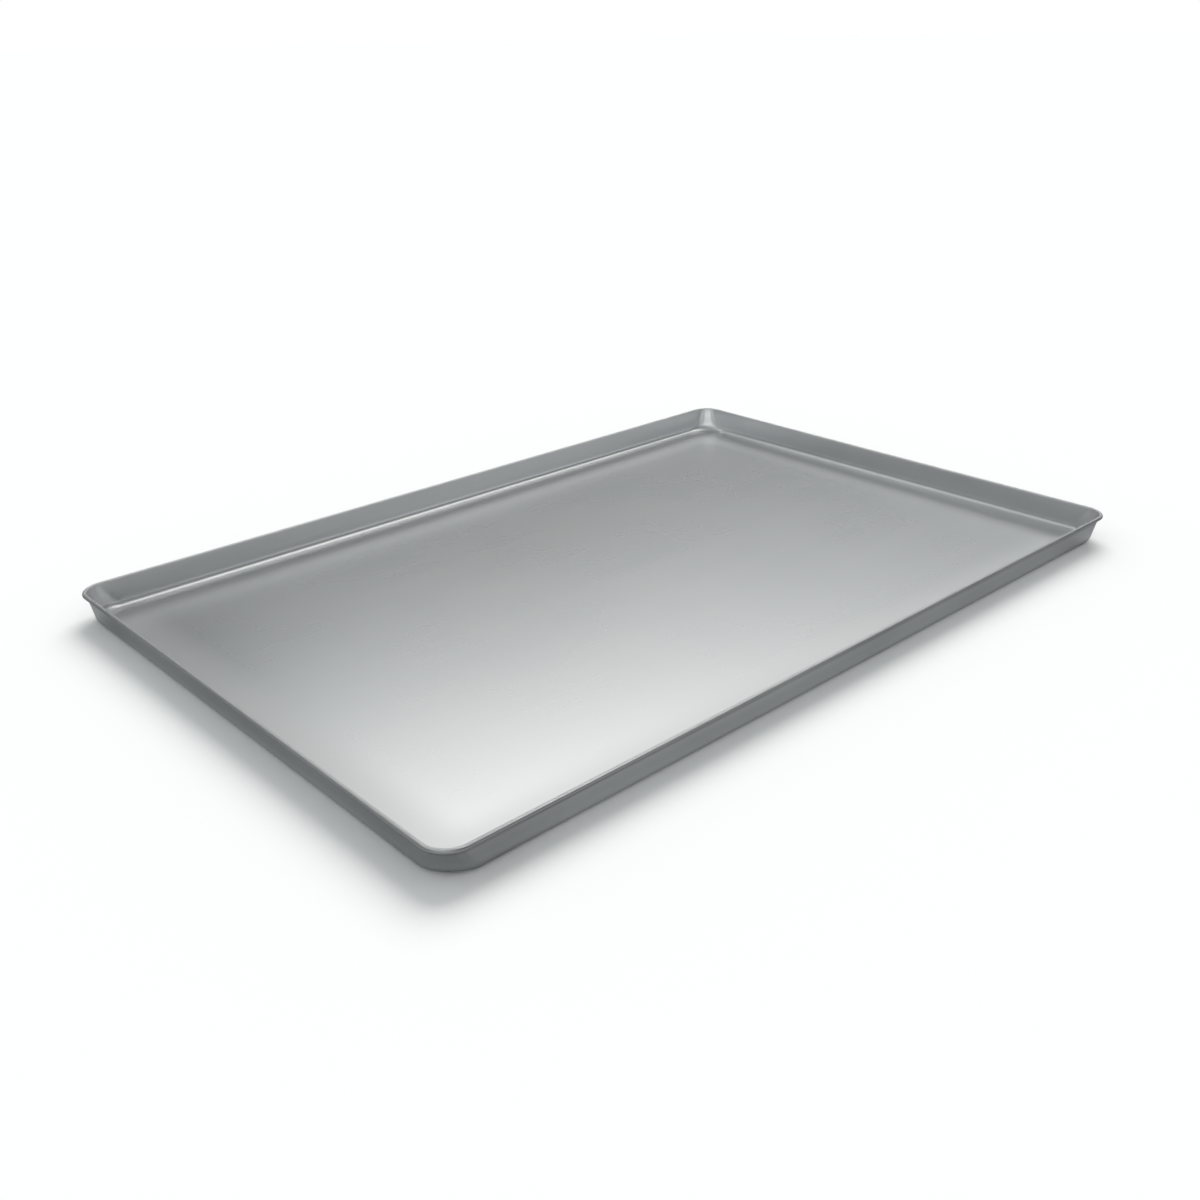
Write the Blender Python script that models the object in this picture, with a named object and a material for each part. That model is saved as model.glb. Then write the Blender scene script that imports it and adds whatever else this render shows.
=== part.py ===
"""Rectangular aluminium display tray with a low flared wall and a wired, rolled rim.

The tray is one pressed sheet. Its edge is curled outwards round a steel wire,
which stiffens the rim. Units are metres, +Z is up, and the origin is at the
middle of the underside, so the tray stands on the plane z = 0.
"""
import math

import bmesh
import bpy
from mathutils import Vector

# Outside sizes of the tray, over the rim
TRAY_LENGTH = 0.600
TRAY_WIDTH = 0.400
TRAY_HEIGHT = 0.020

# The sheet and its bends
SHEET_THICKNESS = 0.0008
FLOOR_BEND_RADIUS = 0.0048     # inside, where the floor turns up into a straight wall
CORNER_BEND_RADIUS = 0.0085    # the same bend, half way round a drawn corner
WALL_RUN = 0.0015              # how far a straight wall's foot lies inside its head
FOOT_CORNER_RADIUS = 0.0238    # in plan, outside, where wall and floor would meet
RIM_CORNER_RADIUS = 0.0163     # in plan, over the outside of the rim

# The wire and the curl that holds it
WIRE_DIAMETER = 0.0008
WIRE_CLEARANCE = 0.0002        # all round, between the wire and the curl
CURL_SLIT = 0.0003             # between the curl's free edge and the wall
WIRE_BUTT_GAP = 0.0010         # between the wire's two ends

# How finely curves are divided
CORNER_STEPS = 10
BEND_STEPS = 6
CURL_STEPS = 16
FLOOR_MARGIN = 0.0040          # flat border between the floor's middle face and the bend
WIRE_BEVEL_RESOLUTION = 3
SMOOTH_ANGLE = math.radians(40)

# Sizes that follow from those above
HALF_SHEET = SHEET_THICKNESS / 2
WIRE_RADIUS = WIRE_DIAMETER / 2
CURL_INNER_RADIUS = WIRE_RADIUS + WIRE_CLEARANCE
CURL_RADIUS = CURL_INNER_RADIUS + HALF_SHEET
CURL_OUTER_RADIUS = CURL_INNER_RADIUS + SHEET_THICKNESS
CURL_HEIGHT = TRAY_HEIGHT - CURL_OUTER_RADIUS
FLOOR_HEIGHT = HALF_SHEET
HEAD_INSET = CURL_OUTER_RADIUS + CURL_RADIUS
FOOT_INSET = HEAD_INSET + WALL_RUN
FOOT_RADIUS = FOOT_CORNER_RADIUS - HALF_SHEET
WIRE_PATH_RADIUS = RIM_CORNER_RADIUS - CURL_OUTER_RADIUS


def remove_old_objects():
    for old in list(bpy.data.objects):
        bpy.data.objects.remove(old, do_unlink=True)


def corner_centre(sign_x, sign_y, inset, radius):
    """Centre of a plan corner whose round edge lies inset from the rim's outside."""
    reach = inset + radius
    return Vector((sign_x * (TRAY_LENGTH / 2 - reach), sign_y * (TRAY_WIDTH / 2 - reach), 0))


def corner_stations():
    """Stations round the four corners, counter-clockwise: corner signs and outward direction."""
    for quarter, (sign_x, sign_y) in enumerate(((1, 1), (-1, 1), (-1, -1), (1, -1))):
        for step in range(CORNER_STEPS + 1):
            angle = (quarter + step / CORNER_STEPS) * math.pi / 2
            yield sign_x, sign_y, Vector((math.cos(angle), math.sin(angle), 0))


def bend_radius(outward):
    """Radius of the bend's middle line, which grows from the straight walls to a corner's middle."""
    roundness = (2 * outward.x * outward.y) ** 2
    return HALF_SHEET + FLOOR_BEND_RADIUS + (CORNER_BEND_RADIUS - FLOOR_BEND_RADIUS) * roundness


def sheet_section(foot, curl_centre, bend):
    """Middle line of the sheet, from the floor to the curl's free edge.

    foot and curl_centre are distances outwards from the corner's foot centre, and bend
    is the bend's radius. Each point is (distance outwards, height, how far along the wall).
    """
    run = curl_centre - foot
    rise = CURL_HEIGHT - FLOOR_HEIGHT
    wall_angle = math.atan2(rise, run) + math.asin(CURL_RADIUS / math.hypot(run, rise))
    bend_length = bend * math.tan(wall_angle / 2)
    points = [(foot - bend_length - FLOOR_MARGIN, FLOOR_HEIGHT, 0)]
    for step in range(BEND_STEPS + 1):
        angle = wall_angle * step / BEND_STEPS
        outwards = foot - bend_length + bend * math.sin(angle)
        points.append((outwards, FLOOR_HEIGHT + bend * (1 - math.cos(angle)), 0))
    first_angle = wall_angle + math.pi / 2
    last_angle = -math.acos((HALF_SHEET + CURL_SLIT - CURL_RADIUS) / CURL_OUTER_RADIUS)
    for step in range(CURL_STEPS + 1):
        angle = first_angle + (last_angle - first_angle) * step / CURL_STEPS
        outwards = curl_centre + CURL_RADIUS * math.cos(angle)
        points.append((outwards, CURL_HEIGHT + CURL_RADIUS * math.sin(angle), 1))
    return points


def sheet_rings():
    """Closed rings round the tray, one for each point of the section."""
    columns = []
    for sign_x, sign_y, outward in corner_stations():
        foot_centre = corner_centre(sign_x, sign_y, FOOT_INSET, FOOT_RADIUS)
        wire_centre = corner_centre(sign_x, sign_y, CURL_OUTER_RADIUS, WIRE_PATH_RADIUS)
        shift = wire_centre - foot_centre
        sideways = shift - outward * shift.dot(outward)
        section = sheet_section(FOOT_RADIUS, WIRE_PATH_RADIUS + shift.dot(outward), bend_radius(outward))
        columns.append([
            foot_centre + outward * distance + sideways * along + Vector((0, 0, height))
            for distance, height, along in section
        ])
    return list(zip(*columns))


def extrude_ring(bm, ring, places):
    """Extrude the open ring of vertices once, and put the new ring at the given places."""
    edges = [bm.edges.get((vert, ring[i - 1])) for i, vert in enumerate(ring)]
    new = bmesh.ops.extrude_edge_only(bm, edges=edges)["geom"]
    new_verts = {item for item in new if isinstance(item, bmesh.types.BMVert)}
    outer = []
    for vert, place in zip(ring, places):
        partner = next(edge.other_vert(vert) for edge in vert.link_edges
                       if edge.other_vert(vert) in new_verts)
        partner.co = place
        outer.append(partner)
    return outer


def principled_material(name, colour, roughness):
    """Bare metal with the given colour and roughness."""
    material = bpy.data.materials.new(name)
    material.use_nodes = True
    shader = material.node_tree.nodes["Principled BSDF"]
    shader.inputs["Base Color"].default_value = (*colour, 1)
    shader.inputs["Roughness"].default_value = roughness
    shader.inputs["Metallic"].default_value = 1
    material.diffuse_color = (*colour, 1)
    return material


def make_tray_sheet():
    """Pressed sheet: flat floor, rounded bend, flared wall and the curl at its edge."""
    rings = sheet_rings()
    bm = bmesh.new()
    bmesh.ops.create_circle(bm, cap_ends=True, segments=len(rings[0]), radius=TRAY_WIDTH / 2)
    ring = list(next(iter(bm.faces)).verts)
    for vert, place in zip(ring, rings[0]):
        vert.co = place
    for places in rings[1:]:
        ring = extrude_ring(bm, ring, places)
    bmesh.ops.recalc_face_normals(bm, faces=bm.faces)
    mesh = bpy.data.meshes.new("tray_sheet")
    bm.to_mesh(mesh)
    bm.free()
    mesh.shade_smooth()
    mesh.set_sharp_from_angle(angle=SMOOTH_ANGLE)
    sheet = bpy.data.objects.new("tray_sheet", mesh)
    bpy.context.collection.objects.link(sheet)
    solidify = sheet.modifiers.new("sheet thickness", "SOLIDIFY")
    solidify.thickness = SHEET_THICKNESS
    solidify.offset = 0
    solidify.use_even_offset = True
    solidify.use_rim = True
    mesh.materials.append(principled_material("satin aluminium", (0.70, 0.71, 0.72), 0.35))
    return sheet


def wire_path():
    """Points of the wire's centre line, from one end of the butt joint round to the other."""
    joint = Vector((0, TRAY_WIDTH / 2 - CURL_OUTER_RADIUS, CURL_HEIGHT))
    half_gap = Vector((WIRE_BUTT_GAP / 2, 0, 0))
    bends = []
    for sign_x, sign_y, outward in corner_stations():
        centre = corner_centre(sign_x, sign_y, CURL_OUTER_RADIUS, WIRE_PATH_RADIUS)
        bends.append(centre + outward * WIRE_PATH_RADIUS + Vector((0, 0, CURL_HEIGHT)))
    first_corner = bends[:CORNER_STEPS + 1]
    return [joint - half_gap, *bends[CORNER_STEPS + 1:], *first_corner, joint + half_gap]


def make_rim_wire():
    """Steel wire inside the curl, bent round the four corners, its ends butted at the back."""
    curve = bpy.data.curves.new("rim_wire", "CURVE")
    curve.dimensions = "3D"
    curve.bevel_depth = WIRE_RADIUS
    curve.bevel_resolution = WIRE_BEVEL_RESOLUTION
    curve.use_fill_caps = True
    points = wire_path()
    spline = curve.splines.new("POLY")
    spline.points.add(len(points) - 1)
    for point, place in zip(spline.points, points):
        point.co = (*place, 1)
    wire = bpy.data.objects.new("rim_wire", curve)
    bpy.context.collection.objects.link(wire)
    curve.materials.append(principled_material("galvanised steel", (0.55, 0.56, 0.57), 0.45))
    return wire


remove_old_objects()
make_tray_sheet()
make_rim_wire()
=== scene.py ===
# Low aluminium display tray: one pressed sheet with its edge curled round a wire
import math

import bmesh
import bpy
from mathutils import Euler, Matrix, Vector, noise


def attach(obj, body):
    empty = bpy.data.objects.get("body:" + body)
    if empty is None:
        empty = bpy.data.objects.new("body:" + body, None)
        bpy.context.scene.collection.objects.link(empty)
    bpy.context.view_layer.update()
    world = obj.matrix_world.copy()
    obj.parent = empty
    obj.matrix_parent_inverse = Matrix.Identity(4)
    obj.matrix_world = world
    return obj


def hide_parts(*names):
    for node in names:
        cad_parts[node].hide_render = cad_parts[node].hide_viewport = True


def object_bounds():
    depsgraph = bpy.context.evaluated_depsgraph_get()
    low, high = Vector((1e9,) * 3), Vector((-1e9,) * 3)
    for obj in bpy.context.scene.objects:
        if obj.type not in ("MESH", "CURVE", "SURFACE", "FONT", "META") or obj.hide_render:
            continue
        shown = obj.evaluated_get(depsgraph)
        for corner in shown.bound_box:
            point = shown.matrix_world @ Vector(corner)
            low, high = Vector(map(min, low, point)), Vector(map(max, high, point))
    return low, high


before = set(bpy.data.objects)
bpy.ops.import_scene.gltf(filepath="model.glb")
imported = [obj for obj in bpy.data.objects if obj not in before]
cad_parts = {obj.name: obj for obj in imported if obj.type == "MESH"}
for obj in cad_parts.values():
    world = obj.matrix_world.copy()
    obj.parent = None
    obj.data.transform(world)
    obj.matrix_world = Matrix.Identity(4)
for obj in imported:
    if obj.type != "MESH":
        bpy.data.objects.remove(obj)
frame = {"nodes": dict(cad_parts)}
cadLow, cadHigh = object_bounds()
print("frame loaded:", ", ".join(frame["nodes"]))


# Camera, where the photograph was taken from
camera = {
    "place": (-0.543364, -0.571643, 0.343980),
    "turn": (65.2903, 0.8148, -42.7526),       # degrees
    "lens": 37.212,                            # mm
    "picture": 36,                             # mm, the side of the square picture behind the lens
    "nearest": 0.01,                           # metres, what it can see
    "farthest": 200,
}


def makeCamera():
    data = bpy.data.cameras.new("camera")
    data.lens = camera["lens"]
    data.sensor_width = camera["picture"]
    data.clip_start = camera["nearest"]
    data.clip_end = camera["farthest"]
    shot = bpy.data.objects.new("camera", data)
    shot.location = camera["place"]
    shot.rotation_euler = Euler([math.radians(angle) for angle in camera["turn"]])
    bpy.context.collection.objects.link(shot)
    bpy.context.scene.camera = shot
    bpy.context.scene.view_settings.view_transform = "Standard"
    print("camera placed")


# A shader socket that takes part in Python sums
class Wire:
    def __init__(self, tree, socket=None):
        self.tree = tree
        self.socket = socket

    def node(self, kind, settings=None, links=None, out=0):
        made = self.tree.nodes.new(kind)
        for name, value in (settings or {}).items():
            setattr(made, name, value)
        for name, value in (links or {}).items():
            if isinstance(value, Wire):
                self.tree.links.new(value.socket, made.inputs[name])
            else:
                made.inputs[name].default_value = value
        return Wire(self.tree, made.outputs[out])

    def maths(self, operation, *values):
        return self.node("ShaderNodeMath", {"operation": operation}, dict(enumerate(values)))

    def __add__(self, other):
        return self.maths("ADD", self, other)

    def __radd__(self, other):
        return self.maths("ADD", other, self)

    def __sub__(self, other):
        return self.maths("SUBTRACT", self, other)

    def __rsub__(self, other):
        return self.maths("SUBTRACT", other, self)

    def __mul__(self, other):
        return self.maths("MULTIPLY", self, other)

    def __rmul__(self, other):
        return self.maths("MULTIPLY", other, self)

    def __truediv__(self, other):
        return self.maths("DIVIDE", self, other)

    def __abs__(self):
        return self.maths("ABSOLUTE", self)

    def smooth(self, low, high):        # 0 below low, 1 above high
        links = {"Value": self, "From Min": low, "From Max": high}
        return self.node("ShaderNodeMapRange", {"interpolation_type": "SMOOTHSTEP"}, links)

    def dot(self, other):
        links = {0: self, 1: other}
        return self.node("ShaderNodeVectorMath", {"operation": "DOT_PRODUCT"}, links, out="Value")

    def mixed(self, first, second):     # a colour between two, by this mask
        ends = [colour if isinstance(colour, Wire) else (*colour, 1) for colour in (first, second)]
        links = {"Factor": self, 6: ends[0], 7: ends[1]}
        return self.node("ShaderNodeMix", {"data_type": "RGBA"}, links, out=2)


def newMaterial(name):
    material = bpy.data.materials.new(name)
    material.use_nodes = True
    return material, material.node_tree.nodes["Principled BSDF"], Wire(material.node_tree)


def feed(wire, shader, name):
    wire.tree.links.new(wire.socket, shader.inputs[name])


# The pressed sheet, in metres, as the CAD has it, and how finely it is divided here
sheet = {
    "thickness": 0.0008,
    "floorBend": 0.0048,          # inside radius where the floor turns up into the wall
    "cornerBend": 0.0085,         # the same half way round a corner
    "wallRun": 0.0015,            # how far the wall's foot lies inside its head
    "footCorner": 0.0238,         # plan radius, outside, where wall and floor would meet
    "rimCorner": 0.0163,          # plan radius, over the rim's outside
    "curlInside": 0.0006,         # radius of the hollow that holds the wire
    "curlSlit": 0.0003,           # between the curl's free edge and the wall
    "cornerSteps": 24,
    "longSteps": 60,
    "shortSteps": 40,
    "bendSteps": 14,
    "wallSteps": 10,
    "curlSteps": 26,
    "floorMargin": 0.0006,        # flat strip beside the bend, so that the floor shades flat
}

# Traces of the press, in metres
pressing = {
    "wallWave": 0.00010,
    "wallWaveLength": 0.11,
    "cornerHollow": 0.00022,      # the walls spring inwards, half way up, towards the drawn corners
    "cornerWarp": 0.00014,        # and are less even there
    "cornerWarpLength": 0.035,
    "cornerReach": 0.05,
    "flute": 0.00016,             # upright puckers in the drawn corners
    "flutes": 6,                  # in a full quarter turn
}


def sheetSection(foot, curlCentre, bend):  # (outwards, up, share of the way up the wall)
    half = sheet["thickness"] / 2
    curl = sheet["curlInside"] + half
    curlHeight = cadHigh.z - curl - half
    run, rise = curlCentre - foot, curlHeight - half
    lean = math.atan2(rise, run) + math.asin(curl / math.hypot(run, rise))
    bendLength = bend * math.tan(lean / 2)
    section = [(foot - bendLength - sheet["floorMargin"], half, 0)]
    for step in range(sheet["bendSteps"] + 1):
        angle = lean * step / sheet["bendSteps"]
        section.append((foot - bendLength + bend * math.sin(angle), half + bend * (1 - math.cos(angle)), 0))
    firstAngle = lean + math.pi / 2
    lastAngle = -math.acos((half + sheet["curlSlit"] - curl) / (curl + half))
    wallFoot = section[-1]
    wallHead = (curlCentre + curl * math.cos(firstAngle), curlHeight + curl * math.sin(firstAngle), 1)
    for step in range(1, sheet["wallSteps"]):
        share = step / sheet["wallSteps"]
        section.append(tuple(low + (high - low) * share for low, high in zip(wallFoot, wallHead)))
    for step in range(sheet["curlSteps"] + 1):
        angle = firstAngle + (lastAngle - firstAngle) * step / sheet["curlSteps"]
        section.append((curlCentre + curl * math.cos(angle), curlHeight + curl * math.sin(angle), 1))
    return section


def pressMark(place, out, share):          # how far the wall stands out there
    cornerGap = min(cadHigh.x - abs(place.x), cadHigh.y - abs(place.y))
    sideGap = max(cadHigh.x - abs(place.x), cadHigh.y - abs(place.y))
    nearCorner = math.exp(-(sideGap - cornerGap) / pressing["cornerReach"])
    wave = noise.noise(place / pressing["wallWaveLength"]) * pressing["wallWave"]
    warp = noise.noise(place / pressing["cornerWarpLength"]) * pressing["cornerWarp"] * nearCorner
    hollow = pressing["cornerHollow"] * nearCorner
    angle = math.atan2(abs(out.y), abs(out.x))
    flute = pressing["flute"] * math.sin(4 * pressing["flutes"] * angle) * math.sin(2 * angle)
    return (wave + warp + flute - hollow) * 4 * share * (1 - share)


def cornerColumns(signX, signY, quarter):  # sections round one corner, counter-clockwise
    half = sheet["thickness"] / 2
    curl = sheet["curlInside"] + half
    wireInset = curl + half
    footInset = wireInset + curl + sheet["wallRun"]
    footRadius = sheet["footCorner"] - half
    wireRadius = sheet["rimCorner"] - wireInset
    corner = Vector((signX * cadHigh.x, signY * cadHigh.y, 0))
    inwards = Vector((-signX, -signY, 0))
    footCentre = corner + inwards * (footInset + footRadius)
    shift = corner + inwards * (wireInset + wireRadius) - footCentre
    columns = []
    for step in range(sheet["cornerSteps"] + 1):
        angle = (quarter + step / sheet["cornerSteps"]) * math.pi / 2
        out = Vector((math.cos(angle), math.sin(angle), 0))
        sideways = shift - out * shift.dot(out)
        rounder = math.sin(math.pi * step / sheet["cornerSteps"]) ** 2
        bend = half + sheet["floorBend"] + (sheet["cornerBend"] - sheet["floorBend"]) * rounder
        column = []
        for outwards, up, share in sheetSection(footRadius, wireRadius + shift.dot(out), bend):
            column.append((footCentre + out * outwards + sideways * share + Vector((0, 0, up)), out, share))
        columns.append(column)
    return columns


def sheetRings():                          # closed rings round the tray, from the floor to the curl's edge
    signs = ((1, 1), (-1, 1), (-1, -1), (1, -1))
    corners = [cornerColumns(*signs[quarter], quarter) for quarter in range(4)]
    columns = []
    for quarter, corner in enumerate(corners):
        columns += corner
        following = corners[(quarter + 1) % 4][0]
        steps = sheet["shortSteps"] if quarter % 2 else sheet["longSteps"]
        for step in range(1, steps):
            columns.append([(start[0].lerp(end[0], step / steps), start[1], start[2])
                            for start, end in zip(corner[-1], following)])
    middle = sheet["cornerSteps"] // 2     # the rings start half way round a corner
    columns = columns[middle:] + columns[:middle]
    return [[place + out * pressMark(place, out, share) for place, out, share in ring]
            for ring in zip(*columns)]


def gridEdge(bm):                          # the flat grid's edge, counter-clockwise from its first corner
    def place(vert):
        x, y = round(vert.co.x, 4), round(vert.co.y, 4)
        if y == 1 and x > -1:
            return 0, -x
        if x == -1 and y > -1:
            return 1, -y
        return (2, x) if y == -1 and x < 1 else (3, y)
    return sorted((vert for vert in bm.verts if vert.is_boundary), key=place)


def extrudeRing(bm, ring, places):
    edges = [bm.edges.get((vert, ring[index - 1])) for index, vert in enumerate(ring)]
    made = bmesh.ops.extrude_edge_only(bm, edges=edges)["geom"]
    fresh = {item for item in made if isinstance(item, bmesh.types.BMVert)}
    outer = []
    for vert, place in zip(ring, places):
        partner = next(edge.other_vert(vert) for edge in vert.link_edges if edge.other_vert(vert) in fresh)
        partner.co = place
        outer.append(partner)
    return outer


def makeTraySheet(material):
    rings = sheetRings()
    across = sheet["longSteps"] + sheet["cornerSteps"]
    along = sheet["shortSteps"] + sheet["cornerSteps"]
    bm = bmesh.new()
    bmesh.ops.create_grid(bm, x_segments=across, y_segments=along, size=1)
    ring = gridEdge(bm)
    columnPlaces = [place.x for place in rings[0][:across + 1]]
    rowPlaces = [place.y for place in (*rings[0][-along:], rings[0][0])]
    for vert in bm.verts:                  # grid lines meet the rings' ends
        x = columnPlaces[round((1 - vert.co.x) / 2 * across)]
        y = rowPlaces[round((1 + vert.co.y) / 2 * along)]
        vert.co = (x, y, sheet["thickness"] / 2)
    for places in rings:
        ring = extrudeRing(bm, ring, places)
    bmesh.ops.recalc_face_normals(bm, faces=bm.faces)
    mesh = bpy.data.meshes.new("pressedTray")
    bm.to_mesh(mesh)
    bm.free()
    mesh.materials.append(material)
    mesh.shade_smooth()
    piece = bpy.data.objects.new("pressedTray", mesh)
    bpy.context.collection.objects.link(piece)
    solid = piece.modifiers.new("sheet thickness", "SOLIDIFY")
    solid.thickness = sheet["thickness"]
    solid.offset = 0
    solid.use_even_offset = True
    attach(piece, "root")
    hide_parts("tray_sheet")
    print("pressed sheet made:", len(mesh.polygons), "faces before its thickness")


# Satin aluminium, as rolled, with what drawing and use leave on it, and light and shade painted on its
# outside; lengths in metres
aluminium = {
    "colour": (0.70, 0.71, 0.72),
    "clouded": (0.681, 0.692, 0.703),
    "cloudSize": 0.10,
    "cloudTone": 0.6,                   # how much clouds and bands each count in the tint
    "bandTone": 0.4,
    "bandSize": (0.5, 0.025, 0.5),      # faint bands along the rolled sheet
    "toneReach": (0.30, 0.70),
    "speck": (0.42, 0.43, 0.44),
    "speckStrength": 0.7,
    "speckGap": 0.036,
    "speckSize": 0.00032,
    "paintedFootLight": (0.54, 0.55, 0.56),       # painted light: the outside lighter towards the foot
    "outside": (0.33, 0.336, 0.34),     # painted shade: the outside darker, standing in for a dark floor mirrored in it
    "outsideEdge": (0.62, 0.63, 0.64),  # what the painted-dark outside still reflects at a glancing angle
    "paintedShadeShare": 0.8,                    # how much of the painted shade the outside has
    "paintedShadeClouds": 0.3,                  # and how much more in the clouds
    "seamShade": (0.20, 0.205, 0.21),        # painted shade under the curl
    # painted shade on the outside towards the drawn corners
    "cornerPaintedShade": 0.5,
    # heights over which the painted light at the foot gives way to the painted shade above
    "paintedFootLightHeights": (0.002, 0.013),
    "seamHeights": (0.0140, 0.0166, 0.0188, 0.0199),
    "bendHeights": (0.00082, 0.0011, 0.0026, 0.0050),
    "rimHeights": (0.0168, 0.0180),
    "edgeReach": (0.016, 0.046),        # from the rim's outside
    "cornerReach": (0.015, 0.11),       # the same, along both sides
    "outwards": (0, 0.03),              # a face's normal dotted with its place
    "upwards": (0.45, 0.92),            # a face that points up this much isn't outside
    "floorRoughness": 0.275,
    "wallRoughness": 0.26,
    "outsideRoughness": 0.20,
    "bendRoughness": 0.28,
    "rimRoughness": 0.34,
    "edgeRoughness": 0.09,              # how much rougher the metal gets beside and on the walls
    "cornerRoughness": 0.07,            # and again on the walls in the drawn corners
    "cloudRoughness": 0.02,
    "bandRoughness": 0.01,
    "drawSize": (0.007, 0.007, 0.12),   # upright marks that drawing leaves on the walls
    "drawDepth": 0.0000015,
    "drawRoughness": 0.05,
    "cornerDraw": 0.12,                 # how much more the same marks show in the drawn corners
    "smearSize": (0.03, 0.03, 0.008),   # level smears, in the drawn corners only
    "smearReach": (0.40, 0.62),
    "smearRoughness": 0.08,
}


def stretched(place, x, y, z):      # a pattern's cells get these lengths
    return place.node("ShaderNodeMapping", links={"Vector": place, "Scale": (1 / x, 1 / y, 1 / z)})


def cloud(place, size=1.0, detail=2.0):
    links = {"Vector": place, "Scale": 1 / size, "Detail": detail}
    return place.node("ShaderNodeTexNoise", links=links)


def trayMasks(place, normal):       # where on the tray a point is, each from 0 to 1
    x, y, z = (place.node("ShaderNodeSeparateXYZ", links={"Vector": place}, out=name) for name in "XYZ")
    facing = normal.node("ShaderNodeSeparateXYZ", links={"Vector": normal}, out="Z")
    gapX, gapY = cadHigh.x - abs(x), cadHigh.y - abs(y)     # from the rim's outside
    endX, endY = (1 - gap.smooth(*aluminium["cornerReach"]) for gap in (gapX, gapY))
    bendStart, bendFull, bendEnd, wallStart = aluminium["bendHeights"]
    seamStart, seamFull, seamEnd, seamGone = aluminium["seamHeights"]
    outwards = normal.dot(place).smooth(*aluminium["outwards"])
    wall = z.smooth(bendEnd, wallStart)
    return {
        "wall": wall,
        "bend": z.smooth(bendStart, bendFull) * (1 - wall),
        "rim": z.smooth(*aluminium["rimHeights"]),
        "seamShade": z.smooth(seamStart, seamFull) * (1 - z.smooth(seamEnd, seamGone)),
        "abovePaintedFootLight": z.smooth(*aluminium["paintedFootLightHeights"]),
        "corner": endX * endY,
        "edge": 1 - gapX.smooth(*aluminium["edgeReach"]) * gapY.smooth(*aluminium["edgeReach"]),
        "outside": outwards * (1 - facing.smooth(*aluminium["upwards"])),
    }


def traySpecks(place):              # scattered dark dots
    links = {"Vector": place, "Scale": 1 / aluminium["speckGap"]}
    dots = place.node("ShaderNodeTexVoronoi", {"voronoi_dimensions": "2D"}, links, out="Distance")
    size = aluminium["speckSize"] / aluminium["speckGap"]
    return 1 - dots.smooth(size / 2, size)


def trayRoughness(at, clouds, bands, marks, smears):
    roughness = aluminium["floorRoughness"] + at["edge"] * aluminium["edgeRoughness"]
    roughness = roughness + (clouds - 0.5) * aluminium["cloudRoughness"]
    roughness = roughness + (bands - 0.5) * aluminium["bandRoughness"]
    for part, base in (("wall", "floor"), ("bend", "floor"), ("outside", "wall"), ("rim", "wall")):
        roughness = roughness + at[part] * (aluminium[part + "Roughness"] - aluminium[base + "Roughness"])
    cornerWall = at["corner"] * at["wall"]
    drawn = at["wall"] * aluminium["drawRoughness"] + cornerWall * aluminium["cornerDraw"]
    smeared = aluminium["cornerRoughness"] + (smears - 0.5) * aluminium["smearRoughness"]
    return roughness + (marks - 0.5) * drawn + cornerWall * smeared


def makeAluminium():
    material, shader, start = newMaterial("satin aluminium")
    shader.inputs["Metallic"].default_value = 1
    place = start.node("ShaderNodeTexCoord", out="Object")
    at = trayMasks(place, start.node("ShaderNodeTexCoord", out="Normal"))
    clouds = cloud(place, aluminium["cloudSize"])
    bands = cloud(stretched(place, *aluminium["bandSize"]))
    marks = cloud(stretched(place, *aluminium["drawSize"]))
    smears = cloud(stretched(place, *aluminium["smearSize"])).smooth(*aluminium["smearReach"])
    specks = traySpecks(place) * (1 - at["wall"]) * aluminium["speckStrength"]

    tone = clouds * aluminium["cloudTone"] + bands * aluminium["bandTone"]
    tint = tone.smooth(*aluminium["toneReach"]).mixed(aluminium["clouded"], aluminium["colour"])
    roughness = trayRoughness(at, clouds, bands, marks, smears)
    relief = at["wall"] * marks * aluminium["drawDepth"]
    bump = relief.node("ShaderNodeBump", links={"Height": relief, "Distance": 1.0, "Strength": 1.0})
    feed(specks.mixed(tint, aluminium["speck"]), shader, "Base Color")
    feed(roughness, shader, "Roughness")
    feed(bump, shader, "Normal")

    # painted light and shade on the outside: lighter at the foot, darker above, darkest under the curl and
    # towards the corners
    outsideLightAndShade = at["abovePaintedFootLight"].mixed(aluminium["paintedFootLight"], aluminium["outside"])
    # painted shade under the curl and towards the corners on the outside; on the wire the same name is its
    # soot pattern
    sootAndPaintedShade = (at["seamShade"] + at["corner"] * aluminium["cornerPaintedShade"]).smooth(0, 1)
    paintedShadeMetal = start.node("ShaderNodeBsdfPrincipled", links={
        "Metallic": 1,
        "Specular Tint": (*aluminium["outsideEdge"], 1),
        "Base Color": sootAndPaintedShade.mixed(outsideLightAndShade, aluminium["seamShade"]),
        "Roughness": roughness,
        "Normal": bump,
    })
    paintedShadeShare = at["outside"] * (aluminium["paintedShadeShare"] + clouds * aluminium["paintedShadeClouds"])
    cleanMetal = Wire(start.tree, shader.outputs[0])
    surface = start.node("ShaderNodeMixShader", links={0: paintedShadeShare, 1: cleanMetal, 2: paintedShadeMetal})
    feed(surface, material.node_tree.nodes["Material Output"], "Surface")
    return material


# Galvanised wire, drawn to size; only its ends and a sliver show through the curl's slit
wireMetal = {
    "colour": (0.55, 0.56, 0.57),
    "spangle": (0.47, 0.49, 0.51),
    "spangleSize": 0.0012,
    "spangleRoughness": 0.14,
    "roughness": 0.45,
    "sootSize": 0.004,
    "sootDetail": 3,
    "sootRoughness": 0.2,
    "sootDepth": 0.00001,
}


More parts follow.
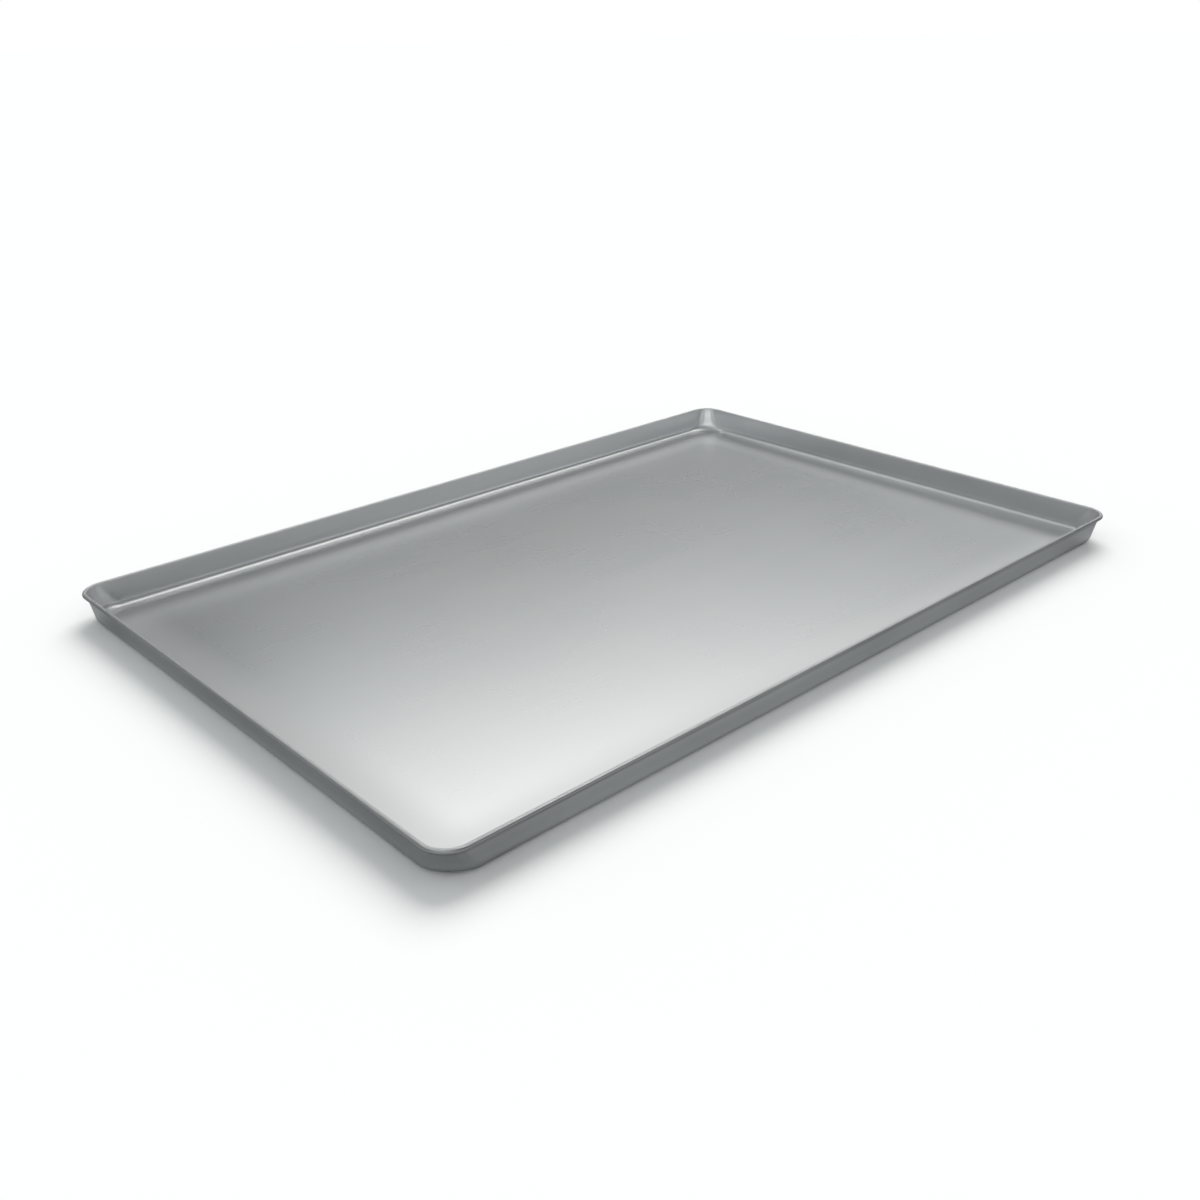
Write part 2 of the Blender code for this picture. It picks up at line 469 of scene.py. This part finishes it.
def makeWireMetal():
    material, shader, start = newMaterial("galvanised steel")
    shader.inputs["Metallic"].default_value = 1
    place = start.node("ShaderNodeTexCoord", out="Object")
    links = {"Vector": place, "Scale": 1 / wireMetal["spangleSize"]}
    cells = place.node("ShaderNodeTexVoronoi", links=links, out="Color")
    spangle = cells.node("ShaderNodeSeparateColor", links={"Color": cells}, out="Red")
    sootAndPaintedShade = cloud(place, wireMetal["sootSize"], wireMetal["sootDetail"])
    roughness = wireMetal["roughness"] + (spangle - 0.5) * wireMetal["spangleRoughness"]
    relief = {"Height": sootAndPaintedShade * wireMetal["sootDepth"], "Distance": 1.0}
    feed(spangle.mixed(wireMetal["spangle"], wireMetal["colour"]), shader, "Base Color")
    feed(roughness + (sootAndPaintedShade - 0.5) * wireMetal["sootRoughness"], shader, "Roughness")
    feed(sootAndPaintedShade.node("ShaderNodeBump", links=relief), shader, "Normal")
    return material


def finishRimWire():
    wire = frame["nodes"]["rim_wire"]
    wire.data.materials.clear()
    wire.data.materials.append(makeWireMetal())
    print("wire galvanised")


# The studio: white floor, a room that is white at the horizon and grey above, softboxes and black cards
studio = {
    "floorSize": 80,
    "floorColour": (0.97, 0.97, 0.97),
    "room": 0.20,
    "roomTint": (0.962, 1.0, 0.999),
    "boxTint": (1.014, 1.0, 0.967),
    "boxGlow": (0.7, 2.1),        # over which the light turns from the room's tint to the softbox's
    "horizon": (3, 8),            # degrees above the floor over which the white turns into the room
    "ambient": 0.60,              # the room's light on matt surfaces, 1 for white on all sides
    "key": 0.44,                  # the key lamp's light on the floor, on the same scale
    "keyHeight": 42,              # degrees above the floor
    "keySide": 54,                # degrees from +Y towards +X
    "keySpread": 40,
}

# Side and height as the key's, wide, tall and soft as shares of the distance, and a glow of 1 is white
panels = [
    # softbox behind the tray, mirrored in the bright near corner of its floor
    {"side": 48, "height": 40, "wide": 0.40, "tall": 0.20, "soft": 0.15, "glow": 1.9},
    # softbox high up on the right, mirrored in the bend under the long far wall
    {"side": 100, "height": 60, "wide": 0.25, "tall": 0.30, "soft": 0.05, "glow": 2.0},
    # wide white card behind the camera
    {"side": 230, "height": 25, "wide": 0.55, "tall": 0.40, "soft": 0.05, "glow": 1.15},
    # dark flag low behind the tray
    {"side": 0, "height": 16, "wide": 0.85, "tall": 0.30, "soft": 0.25, "glow": 0.1},
    # low white card on the right
    {"side": 145, "height": 5, "wide": 0.20, "tall": 0.20, "soft": 0.05, "glow": 1},
    # black card above the first softbox
    {"side": 30, "height": 60, "wide": 0.70, "tall": 0.20, "soft": 0.05, "glow": 0},
    # grey card on the left
    {"side": -65, "height": 60, "wide": 0.45, "tall": 0.45, "soft": 0.05, "glow": 0.6},
    # strip light above the flag, mirrored in the bend under the short far wall
    {"side": 0, "height": 55, "wide": 0.50, "tall": 0.05, "soft": 0.05, "glow": 2.0},
]


def makeFloor():
    bm = bmesh.new()
    bmesh.ops.create_grid(bm, x_segments=1, y_segments=1, size=studio["floorSize"] / 2)
    mesh = bpy.data.meshes.new("floor")
    bm.to_mesh(mesh)
    bm.free()
    material, shader = newMaterial("white floor")[:2]
    shader.inputs["Base Color"].default_value = (*studio["floorColour"], 1)
    shader.inputs["Roughness"].default_value = 1
    shader.inputs["Specular IOR Level"].default_value = 0
    mesh.materials.append(material)
    floor = bpy.data.objects.new("floor", mesh)
    bpy.context.collection.objects.link(floor)
    print("floor laid")


def directionTo(side, height):
    side, height = math.radians(side), math.radians(height)
    return Vector((math.sin(side) * math.cos(height), math.cos(side) * math.cos(height), math.sin(height)))


def panelMask(direction, panel):    # 1 inside the panel's rectangle, with soft edges
    centre = directionTo(panel["side"], panel["height"])
    across = directionTo(panel["side"] + 90, 0)
    depth = direction.dot(centre)
    mask = depth.smooth(0, 0.01)    # nothing on the opposite side
    for axis, half in ((across, panel["wide"]), (across.cross(centre), panel["tall"])):
        offset = abs(direction.dot(axis) / depth)
        mask = mask * (1 - offset.smooth(half - panel["soft"], half + panel["soft"]))
    return mask


def makeWorld():
    world = bpy.data.worlds.new("studio")
    world.use_nodes = True
    bpy.context.scene.world = world
    shader = world.node_tree.nodes["Background"]
    start = Wire(world.node_tree)
    direction = start.node("ShaderNodeTexCoord", out="Generated")
    up = direction.node("ShaderNodeSeparateXYZ", links={"Vector": direction}, out="Z")
    light = studio["room"]
    for panel in panels:
        light = light + panelMask(direction, panel) * (panel["glow"] - light)
    above = up.smooth(*(math.sin(math.radians(angle)) for angle in studio["horizon"]))
    seen = [start.node("ShaderNodeLightPath", out=name)
            for name in ("Is Camera Ray", "Is Glossy Ray", "Is Transmission Ray")]
    shown = (seen[0] + seen[1] + seen[2]).smooth(0, 1)
    feed(studio["ambient"] + shown * (1 + above * (light - 1) - studio["ambient"]), shader, "Strength")
    tint = light.smooth(*studio["boxGlow"]).mixed(studio["roomTint"], studio["boxTint"])
    feed(above.mixed((1, 1, 1), tint), shader, "Color")
    print("studio lit by", len(panels), "panels")


def makeKey():
    data = bpy.data.lights.new("key", "SUN")
    data.angle = math.radians(studio["keySpread"])
    towards = directionTo(studio["keySide"], studio["keyHeight"])
    data.energy = studio["key"] * math.pi / towards.z
    lamp = bpy.data.objects.new("key", data)
    lamp.rotation_euler = towards.to_track_quat("Z", "Y").to_euler()
    lamp.visible_glossy = False     # the metal shows the panels instead
    bpy.context.collection.objects.link(lamp)
    print("key lamp hung")


makeCamera()
makeFloor()
makeWorld()
makeKey()
makeTraySheet(makeAluminium())
finishRimWire()
